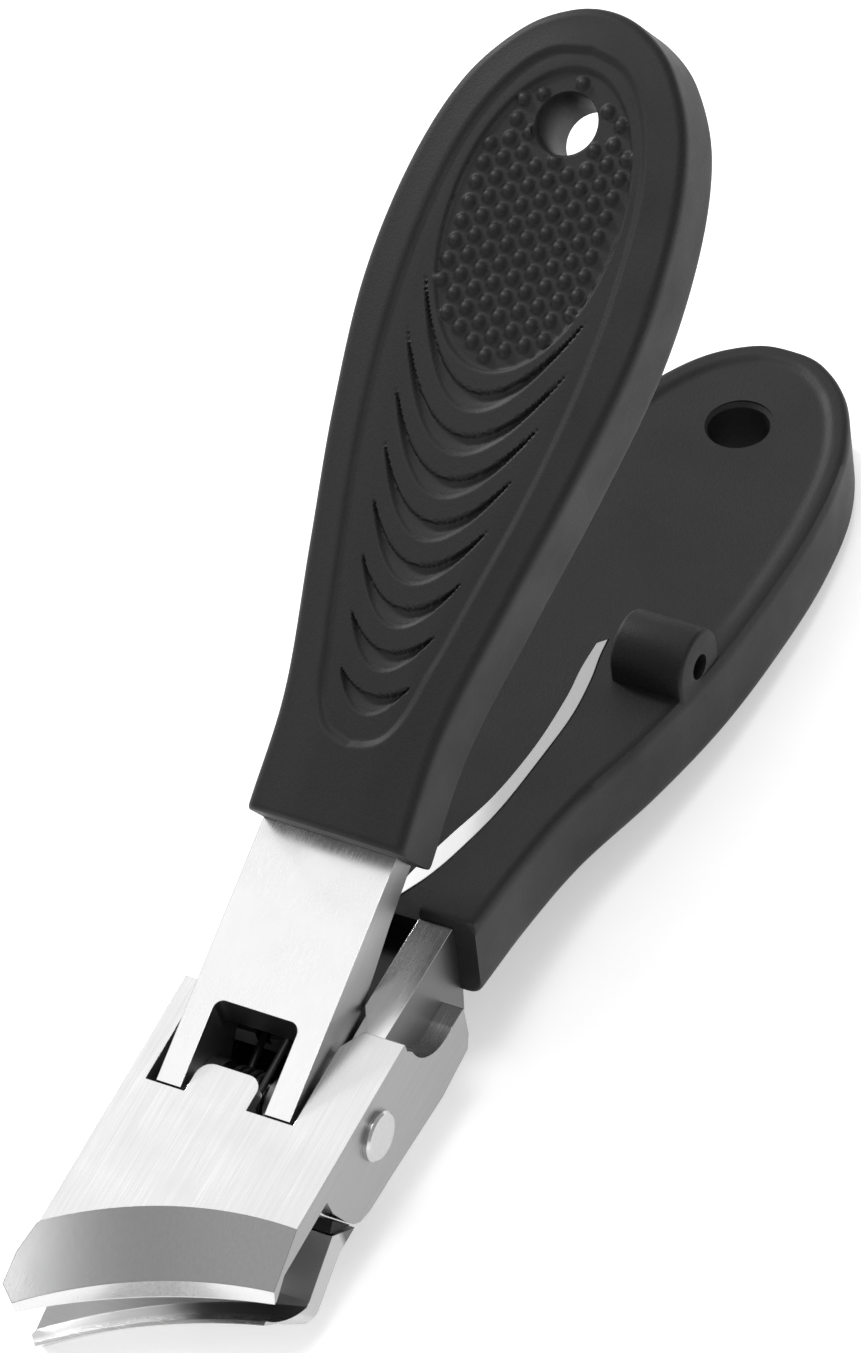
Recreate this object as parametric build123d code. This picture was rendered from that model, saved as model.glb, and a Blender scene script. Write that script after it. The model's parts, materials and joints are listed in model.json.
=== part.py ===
"""Wide-jaw plier nail clipper, sprung open, lying on its lower jaw and the end of its lower grip.

Everything is drawn in the head's own frame: the pivot pin is the Y axis, +X runs out to the
cutting edges and +Z is square to the flat top of the upper jaw.  At the end the whole clipper
is tipped nose down until it lies flat, and is moved to stand on z = 0.
The lower jaw is drawn closed, then swung open about the pin.  All lengths are millimetres.
"""
import os
from math import asin, atan2, cos, degrees, hypot, radians, sin, tan

from build123d import *

# Row frame
LIE_ANGLE = 6.2            # nose-down tip that brings the lower jaw level with the grip's end

# Head
HEAD_HALF = 9.5            # half the width of both jaws
TOP_Z = 3.2                # flat top of the upper jaw above the pin's axis
REAR_PLATE = 1.1           # thickness of the top plate over the pivot
FRONT_PLATE = 1.9          # and in front of it
PLATE_STEP_X = 5.0
FLANGE = 1.8               # thickness of the side flanges
FLANGE_IN = HEAD_HALF - FLANGE
EDGE_CHAMFER = 0.6         # chamfer along the upper jaw's left edge

# Plan arcs of the jaws as (radius, centre x, centre y); material is outside each arc
BEVEL_ARC = (29.1, 40.0, 8.6)
LAND_ARC = (33.0, 48.2, 12.7)
EDGE_ARC = (48.9, 63.8, 18.4)
LAND_Z = 1.35              # top of the upper edge's front land
EDGE_Z = 0.3               # plane in which the two edges meet
EDGE_GAP = 0.06            # left between the edges when closed
LIP_FLAT = 0.35            # width of the flat on each edge
LEFT_CORNER = [(21.6, -9.7), (23.3, -7.7), (27.0, -9.7)]
CORNER_ROUND = 1.8         # rounding of the lower jaw's right front corner

# Slots for the upper tang, and the tongue between them
SLOT_FRONT = 3.05
SLOT_LEFT = -7.34
SLOT_RIGHT = 4.98
TONGUE_LEFT = -4.08
TONGUE_RIGHT = 1.07
TONGUE_REAR = 0.2
TONGUE_ROUND = 1.2
ARM_REAR = -6.0

# Pivot
OPEN_ANGLE = 13.0
PIN_RADIUS = 1.3
PIN_HEAD_RADIUS = 1.97
PIN_HEAD = 0.55
PIN_HEAD_CHAMFER = 0.2
RUNNING = 0.04             # radial running clearance on the pin
SIDE_PLAY = 0.06
WASHER_RADIUS = 1.95

# Lower jaw, closed: plate, outer bevels, cheeks round the pin
JAW_FLOOR_Z = -1.3
JAW_BOTTOM_Z = -3.3
JAW_BREAK_Z = -1.8         # height at which the front changes slope
BREAK_RAKE = -1.0          # how far the front leans back there
BOTTOM_RAKE = -1.7         # and at the bottom
CORNER_RAKE = -1.1         # the rounded corner leans back less
CHEEK = 1.35
CHEEK_RADIUS = 1.98
TIE_RADIUS = 0.6           # rivets that tie each cheek to its prong
TIE_X, TIE_Z = 0.9, -2.55

# Upper tang: fork prongs go down through the slots
TANG_LEFT = -6.5
TANG_RIGHT = 4.63
PRONG_LEFT_IN = -4.49
PRONG_RIGHT_IN = 2.54
TANG_SLOPE = 18.5
TANG_THICK = 2.7           # upright thickness between the prongs, over the spring
EAR_RADIUS = 3.0
NOTCH_REAR = -3.8
NOTCH_ROUND = 0.8

# Lower tang
RAIL_RIGHT_IN = 4.9
RAIL_LEFT_IN = -6.7
WEB_TOP = -0.5
WEB = 1.8
WEB_FRONT = -5.2
WEB_REAR = -16.2
CHANNEL_FLOOR = [(-10.5, -4.6), (-7.0, -5.1), (-2.2, -5.1), (-2.2, -5.5), (-7.9, -5.9), (-10.5, -5.75)]

# Return spring round the pin
WIRE = 0.56
COIL_RADIUS = 1.66
COIL_PITCH = 0.66
COIL_LEFT = -2.5
FIXED_TURNS = 2.49         # a hair short, so the two halves never touch
MOVING_TURNS = 2.0
COIL_RIGHT = COIL_LEFT + 4.5 * COIL_PITCH
FIXED_LEG_END = (-8.6, -0.14)
MOVING_LEG_END = (-6.5, 3.04)

# Grips: s runs back along the chord, n is square to it
GRIP_THICK = 7.0
HANG_HOLE = 2.4            # radius of the hanging holes
UPPER_START = (-15.14, 13.47)
UPPER_PITCH = 24.8
UPPER_LENGTH = 63.2
UPPER_BOW = 0.9
UPPER_HOLE = 54.3
UPPER_HALF = [(0, 6.5), (9, 6.6), (19.5, 8.4), (29.5, 10.2), (39.5, 11.4), (48.5, 11.0), (55.5, 9.3),
              (60.2, 6.3), (62.5, 3.1)]
LOWER_START = (-17.0, 3.2)
LOWER_PITCH = -13.3
LOWER_LENGTH = 66.8
LOWER_BOW = -1.5
LOWER_HOLE = 58.1
LOWER_HALF = [(0, 9.5), (8, 9.0), (16, 9.1), (25, 10.4), (34, 11.2), (43, 11.2), (51, 10.7), (58, 9.3),
              (63.3, 6.6), (66.2, 3.1)]
# See-through gap inside the lower grip, as (s, y) at GAP_LEVEL; it leans back and left on its way down
GAP_RIGHT = [(1.6, 2.3), (4.5, 3.3), (8.0, 3.98), (13.0, 4.53), (20.0, 4.55), (24.2, 4.4), (28.0, 3.8), (30.8, 3.1),
             (32.7, 2.75)]
GAP_LEFT = [(31.9, 2.1), (28.9, 2.4), (25.6, 2.97), (20.0, 3.45), (14.0, 3.3), (9.2, 2.5), (5.0, 1.85), (1.6, 1.6)]
GAP_LEVEL = -1.0
GAP_LEAN = (6.69, -4.48, -7.0)   # along s, y and n
LUG_S, LUG_N = 32.0, -0.4
LUG_RADIUS = 2.9
LUG_LEFT, LUG_RIGHT = 4.7, 10.8
LUG_HOLE = 1.0
WIDE = 60.0                # larger than the clipper is wide or high


# ---------------------------------------------------------------- helpers
def slab(points, y_low, y_high):
    """Solid between two y planes with an outline given as (x, z) points."""
    outline = Polyline(*[(x, y_low, z) for x, z in points], close=True)
    return extrude(make_face(outline), amount=y_high - y_low, dir=(0, 1, 0))


def column(points, z_low, z_high):
    """Solid between two z planes with an outline given as (x, y) points."""
    outline = Polyline(*[(x, y, z_low) for x, y in points], close=True)
    return extrude(make_face(outline), amount=z_high - z_low, dir=(0, 0, 1))


def rod(x, z, radius, y_low, y_high):
    """Cylinder along Y."""
    return Pos(x, (y_low + y_high) / 2, z) * Rot(90, 0, 0) * Cylinder(radius, y_high - y_low)


def arc_cutter(arc_a, z_a, shift_a, arc_b, z_b, shift_b):
    """Everything in front of the ruled surface between two plan arcs, each moved in X by its shift."""
    discs = [Pos(x + shift, y, z) * Circle(radius) for (radius, x, y), z, shift in
             ((arc_a, z_a, shift_a), (arc_b, z_b, shift_b))]
    return loft(discs, ruled=True)


def swing(shape, angle):
    """Turn about the pin; a positive angle lifts the front."""
    return Rot(0, -angle, 0) * shape


def on_tang(x):
    """Height of the upper tang's top face at x."""
    return TOP_Z + (SLOT_FRONT - x) * tan(radians(TANG_SLOPE))


def grip_point(start, pitch, s, n):
    """(x, z) of a point s along the chord of a grip and n above it."""
    a = radians(pitch)
    return (start[0] - s * cos(a) + n * sin(a), start[1] + s * sin(a) + n * cos(a))


def upper_point(s, n):
    return grip_point(UPPER_START, UPPER_PITCH, s, n)


def lower_point(s, n):
    return grip_point(LOWER_START, LOWER_PITCH, s, n)


def chord_plane(start, pitch):
    """Plane whose local x and y are a grip's s and -y, square to the chord."""
    a = radians(pitch)
    return Plane(origin=(start[0], 0, start[1]), x_dir=(-cos(a), 0, sin(a)), z_dir=(sin(a), 0, cos(a)))


def through_grip(start, pitch, sketch):
    return extrude(chord_plane(start, pitch) * sketch, amount=WIDE / 2, both=True)


# ---------------------------------------------------------------- upper jaw
def flange():
    scallop = ThreePointArc((-6.5, 0, 1.64), (-8.4, 0, -1.25), (-11.3, 0, -1.85))
    rest = Polyline((-11.3, 0, -1.85), (-13.1, 0, -1.9), (-12.75, 0, -4.6), (-12.1, 0, -5.7), (-7.9, 0, -6.1),
                    (-0.8, 0, -5.45), (3.25, 0, -5.2), (4.6, 0, -4.75), (5.3, 0, -4.1), (5.9, 0, -3.0),
                    (6.9, 0, -0.5), (7.05, 0, 1.0), (7.05, 0, 2.4), (-6.0, 0, 2.4), (-6.5, 0, 1.64))
    return extrude(make_face([scallop, rest]), amount=FLANGE, dir=(0, 1, 0))


def tongue():
    plan = column([(TONGUE_REAR, TONGUE_LEFT), (SLOT_FRONT + 1, TONGUE_LEFT), (SLOT_FRONT + 1, TONGUE_RIGHT),
                   (TONGUE_REAR, TONGUE_RIGHT)], -1, 6)
    return fillet(plan.edges().filter_by(Axis.Z).group_by(Axis.X)[0], TONGUE_ROUND)


def upper_jaw():
    under_rear = TOP_Z - REAR_PLATE
    under_front = TOP_Z - FRONT_PLATE
    body = slab([(ARM_REAR, TOP_Z), (26, TOP_Z), (26, EDGE_Z), (PLATE_STEP_X, EDGE_Z),
                 (PLATE_STEP_X, under_rear), (ARM_REAR, under_rear)], -HEAD_HALF, HEAD_HALF)
    body -= arc_cutter(BEVEL_ARC, TOP_Z, 0, LAND_ARC, LAND_Z, 0)
    body -= arc_cutter(LAND_ARC, LAND_Z, 0, EDGE_ARC, EDGE_Z, 0)
    hollow = slab([(4, EDGE_Z - 1), (26, EDGE_Z - 1), (26, under_front), (4, under_front)], -WIDE / 2, WIDE / 2)
    body -= hollow - arc_cutter(EDGE_ARC, EDGE_Z, -LIP_FLAT, EDGE_ARC, under_front, -LIP_FLAT - 1.6)
    body -= column(LEFT_CORNER, -2, 5)
    body -= column([(-7, SLOT_LEFT), (SLOT_FRONT, SLOT_LEFT), (SLOT_FRONT, SLOT_RIGHT), (-4.2, SLOT_RIGHT),
                    (-6.1, 6.2), (-7, 6.2)], 0, 5) - tongue()
    for y_low in (-HEAD_HALF, FLANGE_IN):
        body += Pos(0, y_low, 0) * flange()
    side = EDGE_CHAMFER * 2 ** 0.5
    body -= Pos(8, -HEAD_HALF, TOP_Z) * Rot(45, 0, 0) * Box(40, side, side)
    return body - rod(0, 0, PIN_RADIUS, -12, 12)


# ---------------------------------------------------------------- lower jaw
def jaw_edge_x(y):
    radius, x, y_centre = EDGE_ARC
    return x - (radius ** 2 - (y - y_centre) ** 2) ** 0.5


def lower_jaw_closed():
    top = EDGE_Z - EDGE_GAP
    body = slab([(6.2, -3.1), (8.15, -0.2), (8.4, top), (26, top), (26, JAW_BOTTOM_Z), (12.9, JAW_BOTTOM_Z),
                 (8.5, -2.55)], -HEAD_HALF, HEAD_HALF)
    well = slab([(7.0, 2), (8.05, -0.3), (13.0, JAW_FLOOR_Z), (26, JAW_FLOOR_Z), (26, 2)], -WIDE / 2, WIDE / 2)
    body -= well - arc_cutter(EDGE_ARC, top, -LIP_FLAT, EDGE_ARC, JAW_FLOOR_Z, -LIP_FLAT - 2.0)
    body -= arc_cutter(EDGE_ARC, top, 0, EDGE_ARC, JAW_BREAK_Z, BREAK_RAKE)
    body -= arc_cutter(EDGE_ARC, JAW_BREAK_Z, BREAK_RAKE, EDGE_ARC, JAW_BOTTOM_Z, BOTTOM_RAKE)
    body -= column(LEFT_CORNER, -6, 5)
    corner_x = jaw_edge_x(HEAD_HALF) - CORNER_ROUND
    corner_y = HEAD_HALF - CORNER_ROUND
    waste = Rectangle(9, 9, align=Align.MIN) - Circle(CORNER_ROUND)
    run = Vector(CORNER_RAKE, 0, JAW_BOTTOM_Z - top)
    body -= extrude(Pos(corner_x, corner_y, top) * waste, amount=run.length, dir=run.normalized())
    inner_left, inner_right = PRONG_LEFT_IN + 0.02, PRONG_RIGHT_IN - 0.02
    bridge = slab([(-1.5, -4.75), (3.6, -4.75), (6.3, -3.1), (8.15, -0.2), (7.4, -0.2), (5.9, -2.2), (3.2, -3.7),
                   (-1.5, -3.7)], inner_left, inner_right)
    cheek = slab([(-1.5, -4.75), (3.6, -4.75), (6.3, -3.1), (7.4, -0.9), (1.6, 1.1), (-1.6, 1.1), (-1.98, 0)],
                 inner_left, inner_right) & rod(0, 0, 9, -20, 20)
    cheek -= slab([(-3, 0), (1.6, 0), (1.6, 4), (-3, 4)], -20, 20)
    cheek += rod(0, 0, CHEEK_RADIUS, inner_left, inner_right)
    cheek -= slab([(-9, -3.7), (9, -3.7), (9, 9), (-9, 9)], inner_left + CHEEK, inner_right - CHEEK)
    body += bridge + cheek
    return body


def lower_jaw():
    body = swing(lower_jaw_closed(), -OPEN_ANGLE)
    return body - rod(0, 0, PIN_RADIUS + RUNNING, -12, 12) - tie_rods(TIE_RADIUS)


def tie_rods(radius):
    left = rod(TIE_X, TIE_Z, radius, TANG_LEFT, PRONG_LEFT_IN + CHEEK)
    right = rod(TIE_X, TIE_Z, radius, PRONG_RIGHT_IN - CHEEK, TANG_RIGHT)
    return left + right


def splash_guard():
    """Strip behind the lower jaw, notched over its cheeks."""
    strip = slab([(7.05, -1.3), (7.75, -1.95), (7.1, -2.75), (5.5, -3.95), (6.08, -2.95)], -9.3, 9.3)
    return strip - lower_jaw()


# ---------------------------------------------------------------- tangs
def upper_tang():
    front = [upper_point(0, n) for n in (-4.15, -6.9)]
    body = slab([(2.9, on_tang(2.9)), front[0], front[1], (-14.0, 5.4), (-8.5, 2.5), (-5.1, 0.9), (-2.6, -1.5),
                 (2.9, -0.8)],
                TANG_LEFT, TANG_RIGHT)
    body += rod(0, 0, EAR_RADIUS, TANG_LEFT, TANG_RIGHT)
    foot = slab([(-1.6, -2.5), (2.9, -0.7), (2.2, -3.3), (-0.6, -3.3)], TANG_LEFT, TANG_RIGHT)
    body += foot
    notch = column([(NOTCH_REAR, PRONG_LEFT_IN), (6, PRONG_LEFT_IN), (6, PRONG_RIGHT_IN), (NOTCH_REAR, PRONG_RIGHT_IN)],
                   -6, 12)
    body -= fillet(notch.edges().filter_by(Axis.Z).group_by(Axis.X)[0], NOTCH_ROUND)
    body -= slab([(0, on_tang(0) - TANG_THICK), (-13, on_tang(-13) - TANG_THICK), (-13, -4), (0, -4)],
                 PRONG_LEFT_IN, PRONG_RIGHT_IN)
    body += slab([upper_point(0, -4.3), upper_point(38, -3.6), upper_point(38, -5.6), upper_point(0, -6.5)], -4.6, 3.6)
    return body - rod(0, 0, PIN_RADIUS + RUNNING, -12, 12) - tie_rods(TIE_RADIUS)


def lower_tang():
    rail = [(-4.2, 1.9), (-6.08, 1.9), (-6.08, 2.9), (-16.7, 2.45), lower_point(1.5, -2.8), lower_point(24, -3.4),
            lower_point(24, -5.8), lower_point(1.0, -5.4), (-15.75, -3.6), (-15.1, -5.5), (-12.3, -5.6),
            (-7.9, -5.8), (-4.2, -5.1)]
    right = slab(rail, RAIL_RIGHT_IN, FLANGE_IN) - slab([(-15.0, -9), (-60, -9), (-60, 2.0), (-15.0, 2.0)], 0, 6.1)
    right -= column([(-6.0, 4.0), (-6.0, 6.3), (-8.3, 4.9), (-8.3, 4.0)], 1.95, 5)
    left = slab(rail, -FLANGE_IN, RAIL_LEFT_IN)
    web = slab([(WEB_FRONT, WEB_TOP), (WEB_REAR, WEB_TOP), (WEB_REAR, WEB_TOP - WEB), (WEB_FRONT, WEB_TOP - WEB)],
               -FLANGE_IN, FLANGE_IN)
    seat = slab([(WEB_FRONT + 1, -2), (WEB_FRONT + 1, 0), (FIXED_LEG_END[0] - 0.5, 0), (FIXED_LEG_END[0] - 0.5, -0.5),
                 (WEB_FRONT, -1.4), (WEB_FRONT + 1, -1.6)], COIL_LEFT - 0.95, COIL_LEFT + 0.25)
    floor = slab(CHANNEL_FLOOR, -FLANGE_IN, FLANGE_IN)
    return left + right + web + floor - seat


# ---------------------------------------------------------------- pivot
def pivot_pin():
    reach = HEAD_HALF + PIN_HEAD
    body = rod(0, 0, PIN_RADIUS, -reach, reach)
    for y_low in (-reach, HEAD_HALF):
        body += rod(0, 0, PIN_HEAD_RADIUS, y_low, y_low + PIN_HEAD)
    rims = body.edges().filter_by(GeomType.CIRCLE).group_by(Axis.Y)
    return chamfer(rims[0] + rims[-1], PIN_HEAD_CHAMFER)


def washer(y_low, y_high):
    return rod(0, 0, WASHER_RADIUS, y_low, y_high) - rod(0, 0, PIN_RADIUS, -12, 12)


def spring(y_leg, turns, end, from_top):
    """Coil of some turns with its straight leg, which reaches back to end.

    The bottom half is wound towards +Y and the top half towards -Y, so both are one winding.
    """
    path = Helix(COIL_PITCH, COIL_PITCH * turns, COIL_RADIUS, lefthand=True)
    coil = sweep(Plane(origin=path @ 0, z_dir=path % 0) * Circle(WIRE / 2), path)
    reach = hypot(*end)
    run = (reach ** 2 - COIL_RADIUS ** 2) ** 0.5
    back = Plane(origin=path @ 0, z_dir=(path % 0) * -1)
    half = coil + back * Cylinder(WIRE / 2, run, align=(Align.CENTER, Align.CENTER, Align.MIN))
    lean = degrees(asin(run / reach))
    towards_end = degrees(atan2(end[1], end[0]))
    if from_top:
        return Pos(0, y_leg, 0) * Rot(90, 0, 0) * Rot(0, 0, towards_end - lean) * half
    return Pos(0, y_leg, 0) * Rot(-90, 0, 0) * Rot(0, 0, -towards_end - lean) * half


# ---------------------------------------------------------------- grips
def grip_outline(half_widths, length):
    """Plan of a grip: square front, smooth sides, round end."""
    right = [(s, w) for s, w in half_widths]
    left = [(s, -w) for s, w in reversed(half_widths)]
    sides = Spline(*right, (length, 0), *left)
    return make_face([sides, Line(left[-1], right[0])])


def grip_blank(point, start, pitch, half_widths, length, bow):
    """Bowed side profile trimmed to the plan."""

    def rim(n):
        ends = (point(0, n), point(length / 2, n + bow), point(length, n))
        return ThreePointArc(*[(x, -WIDE / 2, z) for x, z in ends])

    top, bottom = rim(0), rim(-GRIP_THICK)
    side = make_face([top, Line(top @ 1, bottom @ 1), bottom, Line(bottom @ 0, top @ 0)])
    blank = extrude(side, amount=WIDE, dir=(0, 1, 0))
    return blank & through_grip(start, pitch, grip_outline(half_widths, length))


def upper_grip():
    body = grip_blank(upper_point, UPPER_START, UPPER_PITCH, UPPER_HALF, UPPER_LENGTH, UPPER_BOW)
    return body - through_grip(UPPER_START, UPPER_PITCH, Pos(UPPER_HOLE, 0) * Circle(HANG_HOLE)) - upper_tang()


def leaning_gap():
    right = Spline(*[(s, -y) for s, y in GAP_RIGHT])
    left = Spline(*[(s, -y) for s, y in GAP_LEFT])
    mouth = make_face([right, Line(right @ 1, left @ 0), left, Line(left @ 1, right @ 0)])
    mouth = chord_plane(LOWER_START, LOWER_PITCH) * (Pos(0, 0, GAP_LEVEL) * mouth)
    along_s, along_y, along_n = GAP_LEAN
    start, end = lower_point(0, 0), lower_point(along_s, along_n)
    lean = Vector(end[0] - start[0], along_y, end[1] - start[1])
    down = extrude(mouth, amount=lean.length * 1.3, dir=lean.normalized())
    return down + extrude(mouth, amount=lean.length * 0.3, dir=lean.normalized() * -1)


def lower_grip():
    body = grip_blank(lower_point, LOWER_START, LOWER_PITCH, LOWER_HALF, LOWER_LENGTH, LOWER_BOW)
    x, z = lower_point(LUG_S, LUG_N)
    foot = [lower_point(s, n) for s, n in ((29.1, -0.4), (34.9, -0.4), (34.9, -3), (29.1, -3))]
    body += rod(x, z, LUG_RADIUS, LUG_LEFT, LUG_RIGHT) + slab(foot, LUG_LEFT, LUG_RIGHT)
    body -= through_grip(LOWER_START, LOWER_PITCH, Pos(LOWER_HOLE, 0) * Circle(HANG_HOLE))
    body -= slab([(-13, 1.4), (-17.0, 2.15), (-20.5, 2.62), (-20.5, 6), (-13, 6)], TANG_LEFT - 0.2, TANG_RIGHT + 0.27)
    body -= leaning_gap()
    return body - rod(x, z, LUG_HOLE, LUG_LEFT - 1, LUG_RIGHT + 1) - lower_tang()


# ---------------------------------------------------------------- assembly
def clipper():
    return {
        "upper_jaw": upper_jaw(),
        "lower_jaw": lower_jaw(),
        "splash_guard": splash_guard(),
        "upper_tang": upper_tang(),
        "lower_tang": lower_tang(),
        "pivot_pin": pivot_pin(),
        "left_washer": washer(-FLANGE_IN, TANG_LEFT - SIDE_PLAY),
        "right_washer": washer(TANG_RIGHT + SIDE_PLAY, FLANGE_IN),
        "left_tie_rivet": rod(TIE_X, TIE_Z, TIE_RADIUS, TANG_LEFT, PRONG_LEFT_IN + CHEEK),
        "right_tie_rivet": rod(TIE_X, TIE_Z, TIE_RADIUS, PRONG_RIGHT_IN - CHEEK, TANG_RIGHT),
        "return_spring_fixed_half": spring(COIL_LEFT, FIXED_TURNS, FIXED_LEG_END, False),
        "return_spring_moving_half": spring(COIL_RIGHT, MOVING_TURNS, MOVING_LEG_END, True),
        "upper_grip": upper_grip(),
        "lower_grip": lower_grip(),
    }


def main():
    os.makedirs("parts", exist_ok=True)
    tipped = {name: Rot(0, LIE_ANGLE, 0) * shape for name, shape in clipper().items()}
    box = Compound(children=[Compound(shape.solids()) for shape in tipped.values()]).bounding_box()
    stand = Pos(-box.center().X, -box.center().Y, -box.min.Z)
    for name, shape in tipped.items():
        placed = stand * shape
        export_step(placed, f"parts/{name}.step")
    pin = stand.position
    print("pin axis at", [round(v, 4) for v in (pin.X, pin.Y, pin.Z)], "size", box.size)


main()
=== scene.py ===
"""Looks of a wide-jaw plier nail clipper: brushed steel head, black soft-touch grips.

Two sets of axes are used, both in millimetres.  The head's axes have the pivot pin as Y, +X out to the
cutting edges and +Z square to the flat top of the upper jaw.  A grip's axes are s, back along its
chord from its square front, y, and n, square to the chord.
"""
import json
from math import cos, pi, radians, sin

import bmesh
import bpy
import numpy as np
from mathutils import Matrix, Vector


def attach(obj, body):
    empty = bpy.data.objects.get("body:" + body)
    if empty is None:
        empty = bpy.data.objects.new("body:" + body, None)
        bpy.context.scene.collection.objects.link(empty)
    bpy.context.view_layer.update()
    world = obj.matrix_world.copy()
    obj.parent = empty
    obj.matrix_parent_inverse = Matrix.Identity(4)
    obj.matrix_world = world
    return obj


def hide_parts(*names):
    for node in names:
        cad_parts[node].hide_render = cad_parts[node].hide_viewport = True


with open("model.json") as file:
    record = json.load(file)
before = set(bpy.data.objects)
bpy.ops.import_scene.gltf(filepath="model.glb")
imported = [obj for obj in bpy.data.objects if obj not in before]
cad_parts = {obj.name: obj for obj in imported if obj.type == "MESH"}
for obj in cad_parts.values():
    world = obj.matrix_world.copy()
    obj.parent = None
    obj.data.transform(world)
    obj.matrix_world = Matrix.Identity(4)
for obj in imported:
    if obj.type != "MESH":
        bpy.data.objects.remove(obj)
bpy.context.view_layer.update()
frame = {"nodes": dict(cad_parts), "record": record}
NODES = frame["nodes"]

MM = 0.001
PIVOT = Vector(frame["record"]["behaviour"]["joints"][0]["pos_m"])
LIE_ANGLE = radians(6.2)                       # the head is tipped this far nose down
HEAD = Matrix.Rotation(LIE_ANGLE, 3, "Y")      # head axes to row axes
OPEN_ANGLE = radians(13)                       # the lower jaw hangs open this far at rest

# Grips, as in the CAD
UPPER_START, UPPER_PITCH, UPPER_LENGTH, UPPER_BOW = (-15.14, 13.47), 24.8, 63.2, 0.9
LOWER_START, LOWER_PITCH, LOWER_LENGTH, LOWER_BOW = (-17.0, 3.2), -13.3, 66.8, -1.5
UPPER_HALF = [(0, 6.5), (9, 6.6), (19.5, 8.4), (29.5, 10.2), (39.5, 11.4), (48.5, 11.0), (55.5, 9.3),
              (60.2, 6.3), (62.5, 3.1)]
LOWER_HALF = [(0, 9.5), (8, 9.0), (16, 9.1), (25, 10.4), (34, 11.2), (43, 11.2), (51, 10.7), (58, 9.3),
              (63.3, 6.6), (66.2, 3.1)]
GRIP_THICK = 7.0
FRONT_ROUND = 0.45                             # rounding round a grip's square front
TAIL = 7.0                                     # the rings close up over this much of the far end
HANG_HOLE = 2.4
HOLE_FLARE = 0.3
HOLE_SIDES = 64
UPPER_HOLE = 54.3
LOWER_HOLE = 58.1
GAP_RIGHT = [(1.6, 2.3), (4.5, 3.3), (8.0, 3.98), (13.0, 4.53), (20.0, 4.55), (24.2, 4.4), (28.0, 3.8),
             (30.8, 3.1), (32.7, 2.75)]
GAP_LEFT = [(31.9, 2.1), (28.9, 2.4), (25.6, 2.97), (20.0, 3.45), (14.0, 3.3), (9.2, 2.5), (5.0, 1.85),
            (1.6, 1.6)]
GAP_LEVEL, GAP_LEAN = -1.0, (6.69, -4.48, -7.0)
TANG_RELIEF, RELIEF_SIDES = [(-13, 1.4), (-17.0, 2.15), (-20.5, 2.62), (-20.5, 6), (-13, 6)], (-6.7, 4.9)
LUG_S, LUG_N, LUG_RADIUS = 32.0, -0.4, 2.9
LUG_LEFT, LUG_RIGHT, LUG_HOLE = 4.7, 10.8, 1.0

# Relief on the upper grip
PANEL_HALF = [(6.5, 0.0), (6.9, 1.5), (7.6, 2.5), (8.9, 3.25), (10.5, 3.75), (13, 4.25), (15, 4.75),
              (20.5, 5.85), (26, 6.95), (32, 7.8), (37, 8.25), (42, 8.35), (47, 8.1), (51, 7.5),
              (54.5, 6.4), (57.5, 4.7), (59.2, 2.8), (59.9, 0.0)]
PANEL_DEPTH, PANEL_SOFT = 0.35, 0.7
OVAL_CENTRE, OVAL_HALF_LENGTH, OVAL_HALF_WIDTH = (46.8, 0.2), 11.8, 6.9
OVAL_DEPTH, OVAL_SOFT = 0.28, 0.25
DOT_PITCH_S, DOT_PITCH_Y, DOT_START = 1.51, 1.335, (46.85, -5.19)
DOT_RADIUS, DOT_HEIGHT, DOT_CLEAR = 0.56, 0.42, 0.45
CRESCENTS = 8
CRESCENT_FIRST, CRESCENT_PITCH, CRESCENT_WIDTH, CRESCENT_DEPTH = 10.45, 3.31, 1.6, 0.42
CRESCENT_MIDDLE = 0.3                          # y of their lowest points
REACH_FIRST, REACH_GROWTH, REACH_MOST = 2.95, 0.64, 6.9
RISE_FIRST, RISE_GROWTH = 1.3, 0.9

# Camera: its right, up and back in the head's axes, and the point it looks at
CAMERA_ROWS = ((-0.45346, 0.86852, -0.20013), (-0.76408, -0.26322, 0.58898), (0.45886, 0.42, 0.78298))
CAMERA_AIM, CAMERA_DISTANCE = (-26.982, 4.223, 18.643), 900
CAMERA_LENS, CAMERA_SENSOR = 332.9, 36
PAPER_GLOW = 0.42                              # keeps the ground near white


# ---------------------------------------------------------------- places
def grip_to_row(start, pitch, s, y, n):
    """Grip axes in mm to row axes in metres; s, y and n are arrays."""
    a = radians(pitch)
    x = start[0] - s * cos(a) + n * sin(a)
    z = start[1] + s * sin(a) + n * cos(a)
    row = np.stack([x, y + 0 * x, z], -1) * MM
    return row @ np.array(HEAD).T + np.array(PIVOT)


def smooth(x):
    x = np.clip(x, 0, 1)
    return x * x * (3 - 2 * x)


def through(points, samples=24):
    """Smooth curve through points, as many samples to a span."""
    p = np.array([2 * np.array(points[0]) - points[1], *points, 2 * np.array(points[-1]) - points[-2]], float)
    out = []
    for a, b, c, d in zip(p, p[1:], p[2:], p[3:]):
        t = np.linspace(0, 1, samples, endpoint=False)[:, None]
        out.append(0.5 * (2 * b + (c - a) * t + (2 * a - 5 * b + 4 * c - d) * t ** 2
                          + (3 * b - a - 3 * c + d) * t ** 3))
    return np.concatenate(out + [p[-2:-1]])


def outline_of(half_widths, length):
    """Right-hand side of a grip's outline, from the front to the tip."""
    mirrored = [(s, -w) for s, w in half_widths[::-1]]
    curve = through(half_widths + [(length, 0.0)] + mirrored)
    right = curve[:24 * len(half_widths) + 1]
    right[-1] = (length, 0)
    right[:, 0] = np.maximum.accumulate(np.minimum(right[:, 0], length))
    return right


def half_width(outline, s):
    return np.interp(s, outline[:, 0], outline[:, 1])


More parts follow.
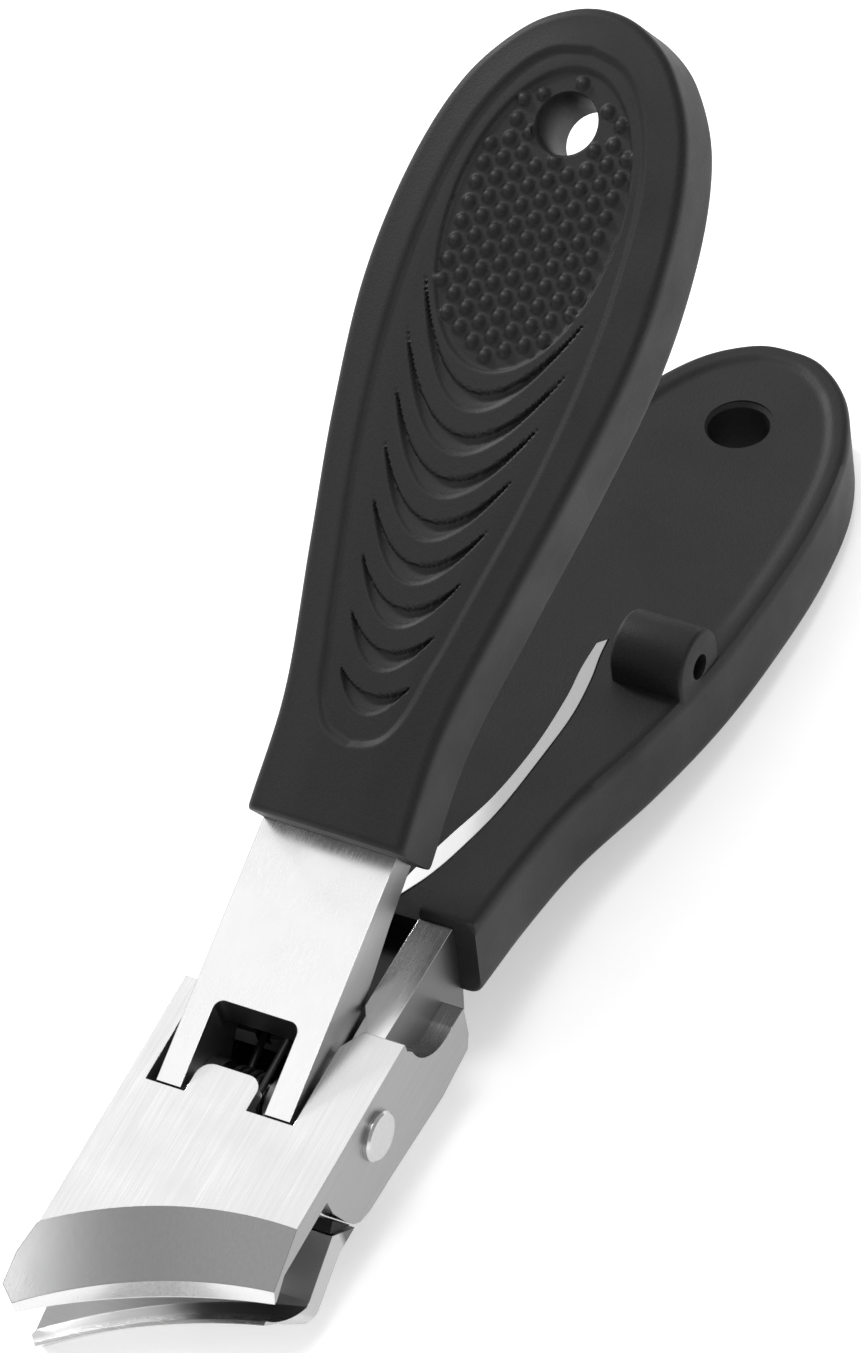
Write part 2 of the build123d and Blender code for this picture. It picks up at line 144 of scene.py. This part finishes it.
def distance_to(path, s, w):
    """Distance from points to a path of straight pieces."""
    far = np.full(s.shape, np.inf)
    for (s0, w0), (s1, w1) in zip(path, path[1:]):
        ds, dw = s1 - s0, w1 - w0
        along = np.clip(((s - s0) * ds + (w - w0) * dw) / max(ds * ds + dw * dw, 1e-9), 0, 1)
        far = np.minimum(far, (s - s0 - along * ds) ** 2 + (w - w0 - along * dw) ** 2)
    return np.sqrt(far)


def edge_distance(outline, s, y):
    """Distance from points inside the grip to its rounded sides and end, not to its square front."""
    return distance_to(outline, s, np.abs(y))


def rounded_drop(distance, radius):
    inside = np.clip(radius - distance, 0, radius)
    return radius - np.sqrt(radius ** 2 - inside ** 2)


# ---------------------------------------------------------------- meshes
def mesh_object(name, points, faces):
    mesh = bpy.data.meshes.new(name)
    mesh.from_pydata([tuple(p) for p in points], [], faces)
    work = bmesh.new()
    work.from_mesh(mesh)
    bmesh.ops.remove_doubles(work, verts=work.verts, dist=2e-6)
    bmesh.ops.dissolve_degenerate(work, edges=work.edges, dist=1e-6)
    bmesh.ops.recalc_face_normals(work, faces=work.faces)
    work.to_mesh(mesh)
    work.free()
    obj = bpy.data.objects.new(name, mesh)
    bpy.context.scene.collection.objects.link(obj)
    return obj


def apply_modifiers(obj):
    graph = bpy.context.evaluated_depsgraph_get()
    mesh = bpy.data.meshes.new_from_object(obj.evaluated_get(graph))
    obj.modifiers.clear()
    old, obj.data = obj.data, mesh
    bpy.data.meshes.remove(old)


def cut(obj, *tools):
    """Takes the tools out of obj and deletes them."""
    for tool in tools:
        modifier = obj.modifiers.new("cut", "BOOLEAN")
        modifier.operation = "DIFFERENCE"
        modifier.solver = "EXACT"
        modifier.object = tool
    apply_modifiers(obj)
    for tool in tools:
        bpy.data.objects.remove(tool)


def join(obj, other):
    """Unites other into obj and deletes it."""
    modifier = obj.modifiers.new("join", "BOOLEAN")
    modifier.operation = "UNION"
    modifier.solver = "EXACT"
    modifier.object = other
    apply_modifiers(obj)
    bpy.data.objects.remove(other)


def shade(obj, angle):
    """Smooth shading with creases sharper than angle degrees kept."""
    obj.data.shade_smooth()
    work = bmesh.new()
    work.from_mesh(obj.data)
    for edge in work.edges:
        edge.smooth = len(edge.link_faces) == 2 and edge.calc_face_angle(0) < radians(angle)
    work.to_mesh(obj.data)
    work.free()


def side_faces(count, rings):
    """Faces between each ring of count points and the next."""
    quads = []
    for k in range(rings - 1):
        for i in range(count):
            j = (i + 1) % count
            quads.append((count * k + i, count * k + j, count * (k + 1) + j, count * (k + 1) + i))
    return quads


def prism_faces(count):
    return [tuple(range(count))[::-1], tuple(range(count, 2 * count))] + side_faces(count, 2)


def grip_tube(name, start, pitch, outline, length, bow, spacing, round_top, round_bottom, relief):
    """Closed grip: each station along s is a ring over the top, down the side, under and up again."""
    tail_steps = int(TAIL / spacing * 1.7)
    s = np.concatenate([FRONT_ROUND * (1 - np.cos(np.linspace(0, pi / 2, 5)))[:-1],
                        np.arange(FRONT_ROUND, length - TAIL, spacing),
                        length - TAIL + TAIL * np.sin(np.linspace(0, pi / 2, tail_steps))])
    width = half_width(outline, s)
    columns = int(2 * outline[:, 1].max() / spacing)
    across = np.linspace(-1, 1, columns)
    across = np.sign(across) * (1 - (1 - np.abs(across)) ** 1.12)
    under = np.sin(np.linspace(pi / 2, -pi / 2, 36))
    fall = np.linspace(0, 1, 12)[1:-1]

    def level(at):
        return bow * 4 * (at / length) * (1 - at / length)

    grid_s, grid_t = np.meshgrid(s, across, indexing="ij")
    grid_y = grid_t * width[:, None]
    distance = edge_distance(outline, grid_s, grid_y)
    top = (level(grid_s) - rounded_drop(distance, round_top) - rounded_drop(grid_s, FRONT_ROUND)
           + relief(grid_s, grid_y, distance))
    low_s, low_t = np.meshgrid(s, under, indexing="ij")
    low_y = low_t * width[:, None]
    low_distance = edge_distance(outline, low_s, low_y)
    bottom = (level(low_s) - GRIP_THICK + rounded_drop(low_distance, round_bottom)
              + rounded_drop(low_s, FRONT_ROUND))
    rim_top, rim_bottom = top[:, -1], bottom[:, 0]
    side = rim_top[:, None] + (rim_bottom - rim_top)[:, None] * fall
    rings_y = np.concatenate([grid_y, np.repeat(width[:, None], len(fall), 1), low_y,
                              -np.repeat(width[:, None], len(fall), 1)], 1)
    left_side = top[:, :1] + (bottom[:, -1:] - top[:, :1]) * fall[::-1]
    rings_n = np.concatenate([top, side, bottom, left_side], 1)
    rings_s = np.repeat(s[:, None], rings_y.shape[1], 1)
    points = grip_to_row(start, pitch, rings_s, rings_y, rings_n)
    rows, ring = rings_y.shape
    index = np.arange(rows * ring).reshape(rows, ring)
    after = np.roll(index, -1, 1)
    quads = np.stack([index[:-1], after[:-1], after[1:], index[1:]], -1).reshape(-1, 4)
    faces = [tuple(q) for q in quads.tolist()] + [tuple(index[0][::-1].tolist())]
    return mesh_object(name, points.reshape(-1, 3), faces)


def leaning_prism(name, start, pitch, loop, level, lean, up, down):
    """Prism from an outline of (s, y) points at height level, along lean by -up to down times its length."""
    loop = np.array(loop)
    count = len(loop)
    points = np.concatenate([grip_to_row(start, pitch, loop[:, 0] + k * lean[0], loop[:, 1] + k * lean[1],
                                         np.full(count, level + k * lean[2])) for k in (down, -up)])
    return mesh_object(name, points, prism_faces(count))


def head_prism(name, profile, sides):
    """Prism between two heights on Y from a profile of (x, z) points in the head's axes."""
    rows = [PIVOT + HEAD @ Vector((x, y, z)) * MM for y in sides for x, z in profile]
    return mesh_object(name, rows, prism_faces(len(profile)))


def hole_tool(name, start, pitch, centre, radius, top, bottom):
    """Lathe shape for a hole whose two rims are rounded over."""
    flare = HOLE_FLARE
    heights, radii = [top + 2, top + 0.01], [radius + flare, radius + flare]
    for step in np.linspace(0, pi / 2, 7):
        heights.append(top - flare * sin(step))
        radii.append(radius + flare * (1 - sin(step)))
    for step in np.linspace(pi / 2, 0, 7):
        heights.append(bottom + flare * sin(step))
        radii.append(radius + flare * (1 - sin(step)))
    heights += [bottom - 0.01, bottom - 2]
    radii += [radius + flare, radius + flare]
    turn = np.linspace(0, 2 * pi, HOLE_SIDES, endpoint=False)
    points = np.concatenate([grip_to_row(start, pitch, centre + r * np.cos(turn), r * np.sin(turn),
                                         np.full(HOLE_SIDES, h)) for r, h in zip(radii, heights)])
    last = range(HOLE_SIDES * (len(radii) - 1), HOLE_SIDES * len(radii))
    caps = [tuple(range(HOLE_SIDES)), tuple(last)[::-1]]
    return mesh_object(name, points, caps + side_faces(HOLE_SIDES, len(radii)))


def lathe_across(name, s, n, stations):
    """Solid round a line square to the grip's side, from (y, outline) stations."""
    points, count = [], len(stations[0][1])
    for y, loop in stations:
        loop = np.array(loop)
        points.append(grip_to_row(LOWER_START, LOWER_PITCH, s + loop[:, 0], np.full(count, y),
                                  n + loop[:, 1]))
    last = range(count * (len(stations) - 1), count * len(stations))
    caps = [tuple(range(count))[::-1], tuple(last)]
    return mesh_object(name, np.concatenate(points), caps + side_faces(count, len(stations)))


def lug_body():
    """Latch lug: round over the top, straight sides down into the grip, edges rounded."""
    def section(radius):
        turn = np.linspace(0, pi, 33)
        over = [(radius * cos(a), radius * sin(a)) for a in turn]
        return over + [(-radius, -2.6), (radius, -2.6)]
    edge = 0.35
    stations = [(LUG_LEFT + edge * (1 - cos(a)), section(LUG_RADIUS - edge * (1 - sin(a))))
                for a in np.linspace(0, pi / 2, 5)]
    stations += [(LUG_RIGHT - edge * (1 - cos(a)), section(LUG_RADIUS - edge * (1 - sin(a))))
                 for a in np.linspace(pi / 2, 0, 5)]
    return lathe_across("lug", LUG_S, LUG_N, stations)


def lug_bore():
    turn = np.linspace(0, 2 * pi, 40, endpoint=False)
    ring = [(LUG_HOLE * cos(a), LUG_HOLE * sin(a)) for a in turn]
    return lathe_across("bore", LUG_S, LUG_N, [(LUG_LEFT - 1, ring), (LUG_RIGHT + 1, ring)])


# ---------------------------------------------------------------- relief of the upper grip
def panel_inside(s, y):
    """Signed distance, about, from the teardrop panel's border; positive inside."""
    border = through(PANEL_HALF, 8)
    far = distance_to(border, s, np.abs(y))
    inside = np.abs(y) < np.interp(s, border[:, 0], border[:, 1], left=-1, right=-1)
    return np.where(inside, 1, -1) * far


def oval_inside(s, y):
    u, v = (s - OVAL_CENTRE[0]) / OVAL_HALF_LENGTH, (y - OVAL_CENTRE[1]) / OVAL_HALF_WIDTH
    return (1 - np.hypot(u, v)) * OVAL_HALF_WIDTH


def dots(s, y):
    """Staggered round bumps over the oval, none on its border or at the hole."""
    column = np.round((y - DOT_START[1]) / DOT_PITCH_Y)
    best = np.zeros(s.shape)
    for shift in (-1, 0, 1):
        j = column + shift
        offset = DOT_START[0] + np.where(j % 2 == 0, 0, DOT_PITCH_S / 2)
        dot_s = offset + np.round((s - offset) / DOT_PITCH_S) * DOT_PITCH_S
        dot_y = DOT_START[1] + j * DOT_PITCH_Y
        bump = np.clip(1 - ((s - dot_s) ** 2 + (y - dot_y) ** 2) / DOT_RADIUS ** 2, 0, 1)
        clear = oval_inside(dot_s, dot_y) > DOT_CLEAR
        clear &= np.hypot(dot_s - UPPER_HOLE, dot_y) > HANG_HOLE + DOT_CLEAR
        best = np.maximum(best, np.where(clear, bump, 0))
    return DOT_HEIGHT * best ** 0.8


def crescents(s, y):
    """Depth of the row of crescents in front of the oval."""
    depth = np.zeros(s.shape)
    for k in range(CRESCENTS):
        low = CRESCENT_FIRST + CRESCENT_PITCH * k
        reach = min(REACH_FIRST + REACH_GROWTH * k, REACH_MOST)
        rise = RISE_FIRST + RISE_GROWTH * k
        across = np.clip(((y - CRESCENT_MIDDLE) / reach) ** 2, 0, 1)
        back = low + rise * across
        front = back - CRESCENT_WIDTH * (1 - across)
        q = (s - front) / np.maximum(back - front, 1e-3)
        profile = 0.45 * smooth(q / 0.12) + 0.55 * smooth((q - 0.1) / 0.75)
        profile *= smooth((1 - q) / 0.1)
        fade = smooth((1 - across) * 5)
        depth = np.maximum(depth, np.where((q > 0) & (q < 1), profile * fade, 0))
    return CRESCENT_DEPTH * depth


def upper_relief(s, y, distance):
    panel = smooth(panel_inside(s, y) / PANEL_SOFT + 0.5)
    oval = smooth(oval_inside(s, y) / OVAL_SOFT)
    crown = -0.5 * smooth(1 - distance / 4.5)
    marks = crescents(s, y) * (1 - oval)
    return crown - PANEL_DEPTH * panel - OVAL_DEPTH * oval + dots(s, y) - marks


def lower_relief(s, y, distance):
    """Inner face: a shallow dish inside a rim."""
    return -0.25 * smooth((distance - 1.3) / 0.6) * smooth((s - 34) / 8)


# ---------------------------------------------------------------- materials
def new_material(name):
    material = bpy.data.materials.new(name)
    material.use_nodes = True
    tree = material.node_tree
    return material, tree, tree.nodes["Principled BSDF"]


def add_node(tree, kind, inputs=(), **settings):
    made = tree.nodes.new(kind)
    for key, value in settings.items():
        setattr(made, key, value)
    for key, value in dict(inputs).items():
        if isinstance(value, bpy.types.NodeSocket):
            tree.links.new(value, made.inputs[key])
        else:
            made.inputs[key].default_value = value
    return made


def ramp(tree, value, low, high, from_low=0.3, from_high=0.7):
    return add_node(tree, "ShaderNodeMapRange", {"Value": value, "From Min": from_low, "From Max": from_high,
                                                 "To Min": low, "To Max": high}).outputs[0]


def math(tree, operation, *values):
    return add_node(tree, "ShaderNodeMath", dict(enumerate(values)), operation=operation).outputs[0]


def grey(tree, value):
    return add_node(tree, "ShaderNodeCombineColor", {"Red": value, "Green": value, "Blue": value}).outputs[0]


def head_place(tree, tip=0.0):
    """A point in the head's axes in mm, turned by a further tip about the pin, nose down."""
    where = add_node(tree, "ShaderNodeTexCoord").outputs["Object"]
    return add_node(tree, "ShaderNodeMapping", {"Vector": where, "Location": PIVOT, "Scale": (MM, MM, MM),
                                                "Rotation": (0, LIE_ANGLE + tip, 0)}, vector_type="TEXTURE")


def head_axes(tree, tip=0.0):
    """That point as (x, y, z) sockets."""
    return add_node(tree, "ShaderNodeSeparateXYZ", {0: head_place(tree, tip).outputs[0]}).outputs


def facing(tree):
    """Surface direction in row axes, as (x, y, z) sockets."""
    normal = add_node(tree, "ShaderNodeTexCoord").outputs["Normal"]
    return add_node(tree, "ShaderNodeSeparateXYZ", {0: normal}).outputs


def side_face(tree):
    """1 on faces square to the pin, 0 elsewhere; the steel materials use it to paint shade on these side
    faces.
    """
    return ramp(tree, math(tree, "ABSOLUTE", facing(tree)[1]), 0.0, 1.0, 0.9, 0.97)


def channel_inside(tree):
    """1 between the two rails, low in the lower tang, which the tang's material darkens almost to black as
    painted shade.
    """
    x, y, z = head_axes(tree)
    across = ramp(tree, math(tree, "ABSOLUTE", math(tree, "ADD", y, 0.9)), 1.0, 0.0, 5.75, 5.85)
    low = ramp(tree, z, 1.0, 0.0, 1.75, 1.85)
    return math(tree, "MULTIPLY", across, low)


def notch_inside(tree):
    """1 on the walls and the underside of the upper tang, which the tang's material darkens as painted shade.
    """
    return ramp(tree, facing(tree)[2], 1.0, 0.0, 0.55, 0.65)


def behind_edge(tree):
    """1 on the lower jaw's cheeks and bridge, which the jaw's material darkens as painted shade behind the
    flange.
    """
    return ramp(tree, head_axes(tree)[0], 1.0, 0.0, 6.6, 7.2)


def jaw_floor(tree):
    """1 on the floor of the lower jaw, inside its raised lip, where the jaw's material paints shade under the
    upper plate.
    """
    low = ramp(tree, head_axes(tree, OPEN_ANGLE)[2], 1.0, 0.0, -0.4, 0.0)
    upward = ramp(tree, facing(tree)[2], 0.0, 1.0, 0.7, 0.8)
    return math(tree, "MULTIPLY", low, upward)


def bevel_face(tree):
    """1 on the ground bevel across the front of the upper jaw."""
    off_slope = math(tree, "ABSOLUTE", math(tree, "SUBTRACT", facing(tree)[2], 0.86))
    slope = ramp(tree, off_slope, 1.0, 0.0, 0.05, 0.07)
    return math(tree, "MULTIPLY", slope, ramp(tree, head_axes(tree)[0], 0.0, 1.0, 9.0, 9.5))


def brushed_steel(name, lines_mm, tip=0.0, tone=0.72, rough=(0.2, 0.3), bump=0.1, edge=0.08, shade_and_finish=()):
    """Steel with fine brush lines and slightly rounded edges.

    lines_mm is how many lines to a mm along the head's X, Y and Z.  Each entry of the last argument is a mask
    with the tone and the roughness it changes to.  The darker tones it brings are painted shade on the side
    faces, the jaw floor, the cheeks and the insides of the notch and channel; the bevel's darker tone is set
    the same way.
    """
    material, tree, shader = new_material(name)
    place = head_place(tree, tip)
    drawn = add_node(tree, "ShaderNodeMapping", {"Vector": place.outputs[0], "Scale": lines_mm})
    lines = add_node(tree, "ShaderNodeTexNoise", {"Vector": drawn.outputs[0], "Scale": 1.0, "Detail": 5.0,
                                                  "Roughness": 0.6}).outputs[0]
    clouds = add_node(tree, "ShaderNodeTexNoise", {"Vector": place.outputs[0], "Scale": 0.25,
                                                   "Detail": 2.0}).outputs[0]
    colour = ramp(tree, lines, 0.95, 1.04)
    level = grey(tree, tone)
    roughness = ramp(tree, math(tree, "ADD", lines, clouds), *rough, 0.7, 1.3)
    # A darker tone under a mask is mostly painted shade, darkening faces where shade falls.
    for mask, mask_tone, mask_rough in shade_and_finish:
        amount = mask(tree)
        shade_and_finish_tone = (mask_tone, mask_tone, mask_tone, 1)
        level = add_node(tree, "ShaderNodeMix", {0: amount, 6: level, 7: shade_and_finish_tone},
                         data_type="RGBA").outputs[2]
        roughness = add_node(tree, "ShaderNodeMix", {0: amount, 2: roughness, 3: mask_rough}).outputs[0]
    whole = add_node(tree, "ShaderNodeMix", {0: 1.0, 6: level, 7: grey(tree, colour)}, data_type="RGBA",
                     blend_type="MULTIPLY").outputs[2]
    shader.inputs["Metallic"].default_value = 1.0
    tree.links.new(whole, shader.inputs["Base Color"])
    tree.links.new(roughness, shader.inputs["Roughness"])
    round_edge = add_node(tree, "ShaderNodeBevel", {"Radius": edge * MM}, samples=6)
    bumps = add_node(tree, "ShaderNodeBump", {"Strength": bump, "Distance": 0.00002, "Height": lines,
                                              "Normal": round_edge.outputs[0]})
    tree.links.new(bumps.outputs[0], shader.inputs["Normal"])
    return material


def soft_black(name, tone=0.01, rough=(0.48, 0.6), grain=0.4, specular=0.27):
    """Matte black soft-touch plastic with a fine sand grain."""
    material, tree, shader = new_material(name)
    where = add_node(tree, "ShaderNodeTexCoord")
    fine = add_node(tree, "ShaderNodeTexNoise", {"Vector": where.outputs["Object"], "Scale": 5200.0,
                                                 "Detail": 3.0, "Roughness": 0.7})
    clouds = add_node(tree, "ShaderNodeTexNoise", {"Vector": where.outputs["Object"], "Scale": 180.0,
                                                   "Detail": 4.0})
    colour = grey(tree, ramp(tree, fine.outputs[0], tone * 0.75, tone * 1.3))
    tree.links.new(colour, shader.inputs["Base Color"])
    tree.links.new(ramp(tree, clouds.outputs[0], *rough), shader.inputs["Roughness"])
    shader.inputs["Specular IOR Level"].default_value = specular
    bumps = add_node(tree, "ShaderNodeBump", {"Strength": grain, "Distance": 0.00006,
                                              "Height": fine.outputs[0]})
    tree.links.new(bumps.outputs[0], shader.inputs["Normal"])
    return material


def paint(obj, material):
    obj.data.materials.clear()
    obj.data.materials.append(material)


def repaint(node, material):
    for slot in NODES[node].material_slots:
        slot.material = material


ALONG_X = (0.15, 7, 7)
ALONG_Y = (7, 0.15, 7)
# The plate's side faces are darkened as painted shade; the front bevel is set darker as well.
steel_plate = brushed_steel("steel_plate", ALONG_X, tone=0.63,
                            shade_and_finish=[(side_face, 0.36, 0.4), (bevel_face, 0.24, 0.24)])
# The lower jaw's floor under the upper plate, its cheeks and bridge behind the flange and its side faces are
# darkened as painted shade.
steel_lever = brushed_steel("steel_lever", ALONG_Y, tone=0.6,
                            shade_and_finish=[(jaw_floor, 0.4, 0.3), (side_face, 0.5, 0.35),
                                      (behind_edge, 0.12, 0.4)])
# The notch walls and the underside of the upper tang, and its side faces, are darkened as painted shade.
steel_upper = brushed_steel("steel_upper_tang", ALONG_X, radians(24.8), tone=0.8,
                            shade_and_finish=[(notch_inside, 0.16, 0.35), (side_face, 0.55, 0.35)])
# The lower tang's side faces and the inside of its channel are darkened as painted shade.
steel_lower = brushed_steel("steel_lower_tang", ALONG_X, radians(-5), tone=0.9,
                            shade_and_finish=[(side_face, 0.16, 0.4), (channel_inside, 0.04, 0.5)])
steel_pin = brushed_steel("steel_pin", (3, 3, 3), tone=0.56, rough=(0.18, 0.26), bump=0.05)
rubber = soft_black("soft_black_grip")
plastic = soft_black("black_moulding", 0.006, (0.45, 0.55), 0.15, 0.15)
wire = soft_black("black_wire", 0.008, (0.3, 0.4), 0.1)

for node, material in {"upper_jaw": steel_plate, "lower_jaw": steel_lever, "upper_tang": steel_upper,
                       "lower_tang": steel_lower, "pivot_pin": steel_pin, "left_tie_rivet": steel_pin,
                       "right_tie_rivet": steel_pin, "left_washer": plastic, "right_washer": plastic,
                       "splash_guard": plastic, "return_spring_fixed_half": wire,
                       "return_spring_moving_half": wire}.items():
    repaint(node, material)


# ---------------------------------------------------------------- grips
spacing = 0.15
upper_outline = outline_of(UPPER_HALF, UPPER_LENGTH)
upper_grip = grip_tube("upper_grip_body", UPPER_START, UPPER_PITCH, upper_outline, UPPER_LENGTH, UPPER_BOW,
                       spacing, round_top=0.8, round_bottom=1.0, relief=upper_relief)
cut(upper_grip, hole_tool("hole", UPPER_START, UPPER_PITCH, UPPER_HOLE, HANG_HOLE,
                          top=0.0, bottom=-GRIP_THICK + 0.4))
shade(upper_grip, 50)
paint(upper_grip, rubber)
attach(upper_grip, "lever")
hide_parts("upper_grip")

lower_outline = outline_of(LOWER_HALF, LOWER_LENGTH)
lower_grip = grip_tube("lower_grip_body", LOWER_START, LOWER_PITCH, lower_outline, LOWER_LENGTH, LOWER_BOW,
                       spacing=0.4, round_top=0.6, round_bottom=1.2, relief=lower_relief)
gap = np.concatenate([through(GAP_RIGHT, 6), through(GAP_LEFT, 6)])
cut(lower_grip, head_prism("tang_relief", TANG_RELIEF, RELIEF_SIDES),
    leaning_prism("gap", LOWER_START, LOWER_PITCH, gap, GAP_LEVEL, GAP_LEAN, 0.3, 1.3),
    hole_tool("hole", LOWER_START, LOWER_PITCH, LOWER_HOLE, HANG_HOLE, top=-0.9, bottom=-GRIP_THICK - 0.7))
join(lower_grip, lug_body())
cut(lower_grip, lug_bore())
shade(lower_grip, 40)
paint(lower_grip, rubber)
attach(lower_grip, "frame")
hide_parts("lower_grip")


# ---------------------------------------------------------------- stage, light, camera
def stage_floor():
    mesh = bpy.data.meshes.new("floor")
    reach = 3.0
    mesh.from_pydata([(-reach, -reach, 0), (reach, -reach, 0), (reach, reach, 0), (-reach, reach, 0)], [],
                     [(0, 1, 2, 3)])
    floor = bpy.data.objects.new("floor", mesh)
    bpy.context.scene.collection.objects.link(floor)
    material, tree, shader = new_material("floor_paper")
    grain = add_node(tree, "ShaderNodeTexNoise", {"Scale": 900.0, "Detail": 2.0})
    tree.links.new(grey(tree, ramp(tree, grain.outputs[0], 0.92, 0.95)), shader.inputs["Base Color"])
    shader.inputs["Emission Color"].default_value = (1, 1, 1, 1)
    shader.inputs["Emission Strength"].default_value = PAPER_GLOW
    shader.inputs["Roughness"].default_value = 0.9
    shader.inputs["Specular IOR Level"].default_value = 0.1
    paint(floor, material)


def softbox(name, towards, distance, width, height, power):
    """Area light in a direction given in the head's axes, facing the pivot."""
    light = bpy.data.lights.new(name, "AREA")
    light.shape = "RECTANGLE"
    light.size, light.size_y = width, height
    light.energy = power
    obj = bpy.data.objects.new(name, light)
    away = (HEAD @ Vector(towards)).normalized()
    obj.location = PIVOT + away * distance
    obj.rotation_euler = away.to_track_quat("Z", "Y").to_euler()
    bpy.context.scene.collection.objects.link(obj)


def add_camera():
    """Long lens, far from the clipper."""
    rows = Matrix(CAMERA_ROWS)
    camera = bpy.data.cameras.new("camera")
    camera.sensor_width = CAMERA_SENSOR
    camera.lens = CAMERA_LENS
    camera.clip_start, camera.clip_end = 0.05, 20
    obj = bpy.data.objects.new("camera", camera)
    place = (HEAD @ rows.transposed()).to_4x4()
    place.translation = PIVOT + HEAD @ (Vector(CAMERA_AIM) + rows[2] * CAMERA_DISTANCE) * MM
    obj.matrix_world = place
    bpy.context.scene.collection.objects.link(obj)
    bpy.context.scene.camera = obj


stage_floor()
world = bpy.data.worlds.new("studio")
world.use_nodes = True
world.node_tree.nodes["Background"].inputs["Color"].default_value = (1, 1, 1, 1)
world.node_tree.nodes["Background"].inputs["Strength"].default_value = 0.5
bpy.context.scene.world = world
bpy.context.scene.view_settings.view_transform = "Standard"
softbox("key", (-0.62, -0.5, 0.7), 0.9, 0.8, 0.8, 1.55)
softbox("over", (0.36, -0.5, 0.85), 0.9, 0.45, 0.6, 0.68)
softbox("strip", (-0.03, 0.08, 1.0), 0.9, 0.32, 0.3, 2.2)
softbox("front", (0.9, -0.35, 0.15), 0.8, 0.3, 0.35, 0.45)
softbox("raking", (-0.42, -0.8, 0.5), 0.9, 0.14, 0.14, 4.5)
add_camera()
